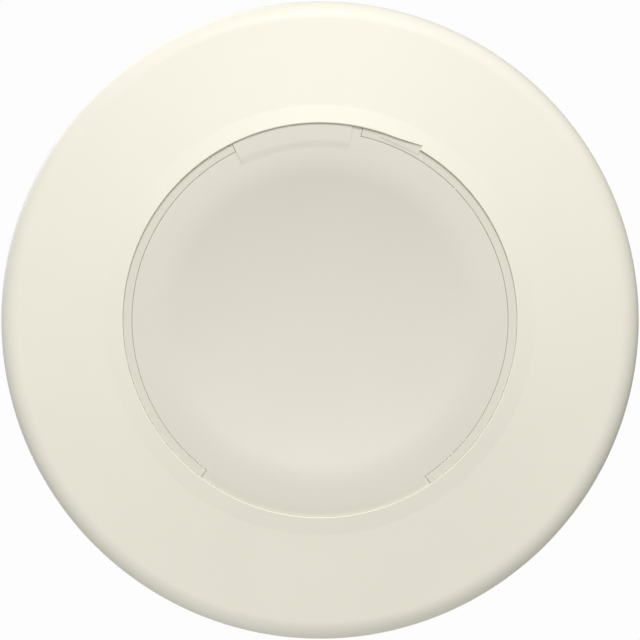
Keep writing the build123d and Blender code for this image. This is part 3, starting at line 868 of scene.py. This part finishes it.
class SPRINKLER_OT_sleeve(Operator):
    """Turns the sleeve with its spring fingers, dimples, lugs, rim notches and the wedge's fill"""

    bl_idname = "sprinkler.sleeve"
    bl_label = "Retainer sleeve"

    def execute(self, context):
        size = context.scene.sprinkler_face
        outer = size.sleeve_radius / MM - 0.005
        inner = (size.sleeve_radius - size.sleeve_wall) / MM
        low, high = heights("retainer_sleeve")
        rim, flare = low - size.rim_proud / MM, size.opening_radius / MM - 0.02
        tube = lathe(
            [
                (inner, rim, 0.1), (flare, rim, 0.05), (flare, COLLAR_STEP[1] - COLLAR_GAP, 0.1),
                (outer, COLLAR_STEP[0] - COLLAR_GAP, 0.1), (outer, high, 0.2), (inner, high, 0.2),
            ],
            SLEEVE_STEPS,
        )
        lugs = ring_of(block(21.95, 25.05, 3.0, -3.15, -2.35, 0.15), 3, LUG_START)
        windows = ring_of(block(24.0, 26.6, 3.0, -2.35, 0.75), 3, LUG_START)
        slot = [(-0.8, high - 12, 0.6), (0.8, high - 12, 0.6), (0.8, high + 1), (-0.8, high + 1)]
        fingers = ring_of(slab(slot, 23.5, 26.8), 6, -90)
        holes = ring_of(bar_across(RIVET_HOLE, 23, 27, RIVET_HEIGHT), 3, RIVET_START)
        dimples = bmesh.new()
        bmesh.ops.create_uvsphere(dimples, u_segments=20, v_segments=12, radius=0.7)
        dimples = ring_of(mend(moved(dimples, outer - 0.15, 0, high - 1.7)), 6, 30)
        margin = math.degrees(0.05 / outer)
        notches = []
        for angle, span in EARS:
            notch = bmesh.new()
            draw(notch, oblong(23.5, 27, low - 1, low + 1.55))
            bmesh.ops.contextual_create(notch, geom=notch.edges[:])
            turned(notch, angle - span / 2 - margin)
            spun(notch, span + 2 * margin, round(span / 2))
            notches.append(mend(notch))
        fill = wedge(size, rim - 0.06, rim + 0.5, 0.0)
        bm = carve(tube, join=[lugs, dimples, fill], cut=[windows, fingers, holes, *notches])
        settle("sleeve", bm, "cover_powder_coat", "trim", "ivory_paint", "retainer_sleeve")
        return DONE


class SPRINKLER_OT_tabs(Operator):
    """Bends the cover's three tabs and lays the fusible solder on them"""

    bl_idname = "sprinkler.tabs"
    bl_label = "Cover tabs and solder"

    def execute(self, context):
        foot, hook, half_width = -5.476, -3.85, 2.0
        path = [(20.1, foot), (22.3, foot, 0.3), (22.3, hook, 0.3), (24.15, hook)]
        bm = ring_of(slab(sheet(path, 0.4), -half_width, half_width), 3, LUG_START)
        settle("tabs", bm, "stamped_brass", "cover", "brass", "cover_tabs", edge=0.05)
        bm = ring_of(block(22.95, 24.15, half_width, -3.45, -3.15, 0.12), 3, LUG_START)
        settle("tab_solder", bm, "fusible_solder", "cover", "solder", "cover_solder")
        return DONE


class SPRINKLER_OT_springs(Operator):
    """Bends the three ejection springs and rivets them into the sleeve"""

    bl_idname = "sprinkler.springs"
    bl_label = "Ejection springs"

    def execute(self, context):
        size = context.scene.sprinkler_face
        outer = size.sleeve_radius / MM
        face = side("ejection_springs", 1)
        foot, strip = -5.129, 0.3
        path = [(19.2, foot), (20.8, foot, 0.8), (face, 1.0, 0.8), (face, 5.0)]
        leaf = slab(sheet(path, strip), -2.0, 2.0)
        hole = bar_across(RIVET_HOLE, 23, 26, RIVET_HEIGHT)
        bm = ring_of(carve(leaf, cut=[hole]), 3, RIVET_START)
        settle("springs", bm, "spring_steel", "trim", "stainless", "ejection_springs", edge=0.04)
        head, shank, thick = 1.4, RIVET_HOLE - 0.01, 0.35
        inner = face - strip
        outline = [
            (0, inner - thick), (head, inner - thick, 0.25), (head, inner, 0.05), (shank, inner),
            (shank, outer), (head, outer, 0.05), (head, outer + thick, 0.25), (0, outer + thick),
        ]
        bm = moved(turned(lathe(outline, 40), 90, "Y"), z=RIVET_HEIGHT)
        ring_of(bm, 3, RIVET_START)
        settle("rivets", bm, "spring_steel", "trim", "stainless", "spring_rivets")
        return DONE


# ---- The cup and the body --------------------------------


class SPRINKLER_OT_cup(Operator):
    """Draws the support cup with its rolled beads and vents"""

    bl_idname = "sprinkler.cup"
    bl_label = "Support cup"

    def execute(self, context):
        size = context.scene.sprinkler_body
        radius, height = size.cup_radius / MM, size.cup_height / MM
        wall, depth = size.cup_wall / MM, size.bead_depth / MM
        path = [(radius, 0)]
        for z in BEADS:
            path += [
                (radius, z - BEAD_FOOT, 0.3), (radius - depth, z - BEAD_CREST, 0.3),
                (radius - depth, z + BEAD_CREST, 0.3), (radius, z + BEAD_FOOT, 0.3),
            ]
        hole = size.neck_radius / MM + 0.1
        path += [(radius, height, 2.0), (hole, height)]
        bm = lathe(sheet(path, wall), SLEEVE_STEPS)
        vents = ring_of(rod(2.5, height - 2, height + 1, (21.05, 0), steps=48), 4, 45)
        bm = carve(bm, cut=[vents])
        settle("cup", bm, "zinc_plated_steel", "sprinkler", "zinc_steel", "support_cup", edge=0.08)
        return DONE


class SPRINKLER_OT_circlip(Operator):
    """Cuts the open circlip with its two eyes"""

    bl_idname = "sprinkler.circlip"
    bl_label = "Circlip"

    def execute(self, context):
        size = context.scene.sprinkler_body
        low, high = heights("cup_retaining_ring")
        inner = size.neck_radius / MM - 0.95
        outer = size.neck_radius / MM + 2.1
        ring = lathe(oblong(inner, outer, low, high, 0.1), 160)
        gap = slab(oblong(-20, -8, low - 1, high + 1), -4.0, 4.0)
        eye_y = 6.1
        eye_x = -math.sqrt(outer**2 - eye_y**2)
        places = [(eye_x, sign * eye_y) for sign in (-1, 1)]
        bosses = [rod(2.1, low + EYE_INSET, high - EYE_INSET, place, 0.1) for place in places]
        eyes = [rod(0.8, low - 1, high + 1, place) for place in places]
        bm = carve(ring, join=bosses, cut=[gap, *eyes])
        settle("circlip", bm, "spring_steel", "sprinkler", "stainless", "cup_retaining_ring")
        return DONE


class SPRINKLER_OT_body(Operator):
    """Turns the brass body, cuts its pipe thread, flats and sockets, and adds the two ears"""

    bl_idname = "sprinkler.body"
    bl_label = "Sprinkler body"

    def execute(self, context):
        size = context.scene.sprinkler_body
        flange, neck = size.flange_radius / MM, size.neck_radius / MM
        nozzle, orifice = size.nozzle_radius / MM, size.orifice_radius / MM
        water, cup = size.waterway_radius / MM, size.cup_height / MM
        end, pitch, depth = size.thread_radius / MM, size.thread_pitch / MM, size.thread_depth / MM
        high = heights("sprinkler_body")[1]
        under = cup - size.cup_wall / MM
        flange_low, seat = under - 4.1, under - 7.3
        thread_low = under + 9.6
        root = end - depth
        outline = [
            (orifice - 1, seat), (nozzle, seat, 0.2), (nozzle, flange_low, 0.3),
            (flange, flange_low, 0.35), (flange, under, 0.3), (neck, under), (neck, cup),
            (neck - 1, cup), (neck - 1, cup + 1.2), (neck, cup + 1.2, 0.15), (neck, under + 7, 0.4),
            (root, under + 7, 0.2), (root, high, 0.2), (orifice - 1, high),
        ]
        body = lathe(outline, LATHE_STEPS)
        flat = size.flange_flat / MM
        flats = [slab(oblong(sign * flat, sign * 20, 18, under), -20, 20) for sign in (-1, 1)]
        ledge, root_z = 12.4, flange_low + 0.5
        arm = [
            (9.2, ledge + 0.8), (7.9, ledge + 0.8, 0.12), (7.9, ledge, 0.15), (11.8, ledge, 0.6),
            (11.8, root_z), (9.2, root_z),
        ]
        arms = [turned(slab(arm, -4.0, 4.0), degrees) for degrees in (0, 180)]
        circle = size.pin_circle / MM
        sockets = [rod(3.03, flange_low - 1, flange_low + 3, (0, sign * circle)) for sign in (-1, 1)]
        bore = lathe(
            [
                (0, seat - 1), (orifice, seat - 1), (orifice, seat + 3.5, 0.5),
                (water, flange_low + 3.3, 0.5), (water, high - 0.8), (water + 1.0, high + 0.2),
                (0, high + 0.2),
            ],
            LATHE_STEPS,
        )

        # The thread's ridge winds up the taper, and a chamfered sleeve trims both of its ends
        ridge = bmesh.new()
        foot, low = end + (high - thread_low) * TAPER, thread_low - pitch
        middle, land = low + pitch / 2, 0.17
        profile = [(foot - depth, low), (foot, middle - land), (foot, middle + land)]
        draw(ridge, [*profile, (foot - depth, low + pitch)], closed=False)
        climb = (0, 0, pitch / SMALL_STEPS)
        spun(ridge, 360 * THREAD_TURNS, SMALL_STEPS * THREAD_TURNS, dvec=climb)
        weld(ridge)
        bmesh.ops.holes_fill(ridge, edges=[line for line in ridge.edges if line.is_boundary])
        for vert in ridge.verts:
            radius = math.hypot(vert.co.x, vert.co.y)
            lean = 1 - (vert.co.z - low) * TAPER / radius
            vert.co.x *= lean
            vert.co.y *= lean
        mend(ridge)
        envelope = lathe(
            [
                (0, thread_low - 0.6), (root - 0.2, thread_low - 0.6),
                (foot + 0.4, thread_low + 0.7), (end + 0.4, high - 1.2), (root - 0.1, high),
                (0, high),
            ],
            LATHE_STEPS,
        )
        ridge = carve(ridge, keep=[envelope])
        bm = carve(body, join=[ridge, *arms], cut=[*flats, *sockets, bore])
        settle("brass_body", bm, "turned_brass", "sprinkler", "brass", "sprinkler_body")
        return DONE


class SPRINKLER_OT_guides(Operator):
    """Makes the two guide pins and the housings that they slide in"""

    bl_idname = "sprinkler.guides"
    bl_label = "Guide pins"

    def execute(self, context):
        circle = context.scene.sprinkler_body.pin_circle / MM
        low, high = heights("guide_pin_housing_front")
        pin_low, pin_high = heights("guide_pin_front")
        for end, sign in (("front", -1), ("rear", 1)):
            place, finish = (0, sign * circle), "turned_bronze"
            outline = [
                (1.2, low), (3.0, low, 0.3), (3.0, high, 0.1), (2.2, high, 0.2),
                (2.2, low + 1.2, 0.2), (1.2, low + 1.2, 0.1),
            ]
            bm = lathe(outline, 64, place)
            node = f"guide_pin_housing_{end}"
            settle(f"pin_housing_{end}", bm, finish, "sprinkler", "bronze", node)
            outline = [
                (0, pin_low), (1.7, pin_low, 0.18), (1.7, pin_low + 0.4, 0.05),
                (1.1, pin_low + 0.4), (1.1, pin_high - 1.2), (2.0, pin_high - 1.2, 0.1),
                (2.0, pin_high, 0.25), (0, pin_high),
            ]
            bm = lathe(outline, 64, place)
            settle(f"pin_{end}", bm, finish, "deflector_assembly", "bronze", f"guide_pin_{end}")
        return DONE


class SPRINKLER_OT_deflector(Operator):
    """Stamps the slotted deflector with its raised hub"""

    bl_idname = "sprinkler.deflector"
    bl_label = "Deflector"

    def execute(self, context):
        size = context.scene.sprinkler_body
        radius, circle = size.deflector_radius / MM, size.pin_circle / MM
        low, high = heights("deflector")
        plate, hub = low + 1, 4.0
        outline = [(0, low), (radius, low, 0.25), (radius, plate, 0.15), (hub, plate), (hub, high, 0.3)]
        disc = lathe([*outline, (0, high)], LATHE_STEPS)
        half, inner, past = 0.8, 9.0, radius + 2
        slot = [(inner, half, 0.79), (past, half), (past, -half), (inner, -half, 0.79)]
        count = size.deflector_slots
        slots = ring_of(slab(slot, low - 1, low + 2, flat=True), count, 180 / count)
        holes = [rod(1.11, low - 1, low + 2, (0, sign * circle)) for sign in (-1, 1)]
        bm = carve(disc, cut=[slots, *holes])
        settle("slotted_deflector", bm, "stamped_bronze", "deflector_assembly", "bronze", "deflector")
        return DONE


# ---- The valve, the levers and the link ------------------


class SPRINKLER_OT_valve(Operator):
    """Makes the seal, its disc spring, the cap, the saddle and the compression screw"""

    bl_idname = "sprinkler.valve"
    bl_label = "Valve"

    def execute(self, context):
        low, high = heights("seal_washer")
        bm = lathe(oblong(5.7, 7.4, low, high, 0.05), 120)
        settle("washer", bm, "waxy_seal", "valve", "ptfe", "seal_washer")
        foot = heights("seal_disc_spring")[0]
        outline = [(2.8, foot, 0.05), (6.8, foot + 0.7, 0.1), (6.8, foot + 1.1, 0.1), (2.8, foot + 0.4, 0.05)]
        bm = lathe(outline, 120)
        settle("disc_spring", bm, "satin_nickel", "valve", "nickel", "seal_disc_spring")
        low, high = heights("seal_cap")
        outline = [
            (0, low), (4.6, low, 0.25), (4.6, low + 1, 0.25), (2.7, low + 1, 0.2),
            (2.7, high, 1.35), (0, high),
        ]
        bm = lathe(outline, 96)
        settle("valve_cap", bm, "turned_bronze", "valve", "bronze", "seal_cap")
        low, high = heights("saddle")
        plate = slab(oblong(-4.2, 4.2, -3.4, 3.4, 0.8), low, high, flat=True)
        bm = carve(plate, cut=[rod(1.61, low - 1, high + 1)])
        settle("bridge", bm, "stamped_brass", "valve", "brass", "saddle", edge=0.1)
        low, high = heights("compression_screw")
        slot = block(-0.25, 0.25, 3, low - 1, low + 0.7)
        screw = lathe([(0, low), (1.6, low, 0.2), (1.6, high), (0, high)], 64)
        bm = carve(screw, cut=[slot])
        settle("set_screw", bm, "turned_brass", "valve", "brass", "compression_screw")
        return DONE


class SPRINKLER_OT_levers(Operator):
    """Bends the two levers that hold the valve shut"""

    bl_idname = "sprinkler.levers"
    bl_label = "Levers"

    def execute(self, context):
        outline = [
            (2.6, 13.9, 0.1), (5.2, 13.9, 0.5), (5.2, 4.6, 0.15), (6.4, 4.6, 0.15),
            (6.4, 13.9, 0.1), (7.7, 13.75, 0.2), (8.3, 13.4, 0.55), (8.9, 14.0, 0.55),
            (8.3, 14.65, 0.55), (7.6, 15.1, 0.3), (2.6, 15.1, 0.15),
        ]
        for hand, degrees in HANDS:
            cheeks = [moved(block(4, 7.5, 1.0, 5.2, 7.9), y=sign * 3.5) for sign in (-1, 1)]
            bm = turned(carve(slab(outline, -3.0, 3.0), cut=cheeks), degrees)
            body = f"{hand}_lever"
            settle(f"lever_{hand}", bm, "stamped_bronze", body, "bronze", body, edge=0.1)
        return DONE


class SPRINKLER_OT_link(Operator):
    """Stamps the two plates of the fusible link and the solder between them"""

    bl_idname = "sprinkler.link"
    bl_label = "Fusible link"

    def execute(self, context):
        overlap, half_width, corner = 4.4, 4.5, 1.2
        for hand, degrees in HANDS:
            node = f"{hand}_link_plate"
            low, high = heights(node)
            outline = oblong(-overlap, 8.6, -half_width, half_width, corner)
            slot = slab(oblong(4.4, 7.2, -2.8, 2.8, 0.2), low - 1, high + 1, flat=True)
            bm = turned(carve(slab(outline, low, high, flat=True), cut=[slot]), degrees)
            name, body = f"plate_{hand}", f"{hand}_link"
            settle(name, bm, "satin_nickel", body, "nickel", node, edge=0.06)
        outline = oblong(-overlap, overlap, -half_width, half_width, corner)
        bm = slab(outline, *heights("link_solder"), flat=True)
        settle("plate_solder", bm, "fusible_solder", "right_link", "solder", "link_solder")
        return DONE


class SPRINKLER_PT_panel(Panel):
    """Lists the pieces of the sprinkler head"""

    bl_idname = "SPRINKLER_PT_panel"
    bl_label = "Sprinkler head"
    bl_space_type = "VIEW_3D"
    bl_region_type = "UI"
    bl_category = "Sprinkler"

    def draw(self, context):
        for operator in OPERATORS:
            self.layout.operator(operator.bl_idname)


OPERATORS = [
    SPRINKLER_OT_stage,
    SPRINKLER_OT_ring,
    SPRINKLER_OT_cover,
    SPRINKLER_OT_sleeve,
    SPRINKLER_OT_tabs,
    SPRINKLER_OT_springs,
    SPRINKLER_OT_cup,
    SPRINKLER_OT_circlip,
    SPRINKLER_OT_body,
    SPRINKLER_OT_guides,
    SPRINKLER_OT_deflector,
    SPRINKLER_OT_valve,
    SPRINKLER_OT_levers,
    SPRINKLER_OT_link,
]
GROUPS = {
    "sprinkler_face": SprinklerFaceSizes,
    "sprinkler_body": SprinklerBodySizes,
    "sprinkler_finishes": SprinklerFinishes,
    "sprinkler_stage": SprinklerStageSizes,
}


def register():
    for group in GROUPS.values():
        bpy.utils.register_class(group)
    for operator in [*OPERATORS, SPRINKLER_PT_panel]:
        bpy.utils.register_class(operator)
    for name, group in GROUPS.items():
        setattr(bpy.types.Scene, name, PointerProperty(type=group))


def unregister():
    for name in GROUPS:
        delattr(bpy.types.Scene, name)
    for group in [SPRINKLER_PT_panel, *OPERATORS[::-1], *GROUPS.values()]:
        bpy.utils.unregister_class(group)


def main():
    """Builds every piece."""
    register()
    for operator in OPERATORS:
        group, name = operator.bl_idname.split(".")
        getattr(getattr(bpy.ops, group), name)()


if __name__ == "__main__":
    main()
